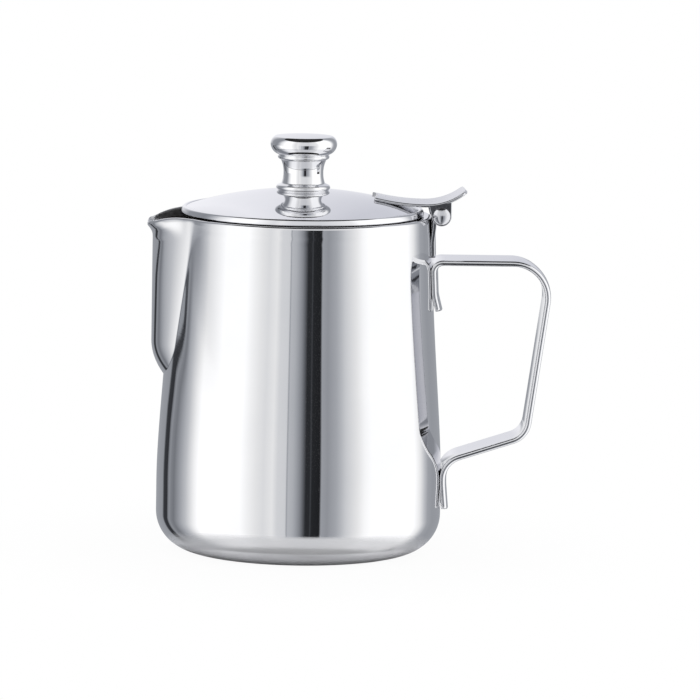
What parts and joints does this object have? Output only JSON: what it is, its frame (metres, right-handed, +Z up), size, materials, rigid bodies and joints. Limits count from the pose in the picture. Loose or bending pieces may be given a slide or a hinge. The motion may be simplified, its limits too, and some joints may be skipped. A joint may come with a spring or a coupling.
{
  "type": "hot milk jug",
  "caption": "Polished steel hot milk jug with a slightly tapering round body, a V-shaped pouring spout, a bent strap handle and a hinged domed lid with a thumb lever and a turned knob.",
  "frame": {"origin": "centre of the flat base, on the surface that the jug stands on", "axes": "+Z up along the jug's axis, +X to the hinge and the handle, -X to the spout, the XZ plane is the jug's plane of symmetry"},
  "size_m": [0.131, 0.092, 0.1346],
  "materials": {
    "polished_steel": "mirror-polished stainless steel",
    "spun_steel": "bright stainless steel with fine concentric spinning lines",
    "hinge_steel": "bright rolled stainless steel",
    "turned_knob": "polished turned metal",
    "screw_steel": "plain zinc-bright steel"
  },
  "bodies": {
    "jug": {"jug_body": "polished_steel", "pouring_spout": "polished_steel", "handle_strap": "polished_steel", "hinge_bracket": "hinge_steel"},
    "lid": {"lid_shell": "spun_steel", "lid_lever": "spun_steel", "lid_knob": "turned_knob", "knob_screw": "screw_steel", "knob_washer": "screw_steel", "hinge_rivet": "hinge_steel"}
  },
  "joints": [
    {"name": "lid_hinge", "type": "hinge", "parent": "jug", "child": "lid", "pos_m": [0.04435, 0, 0.1096], "axis": [0, 1, 0], "range_deg": [0, 100]}
  ]
}
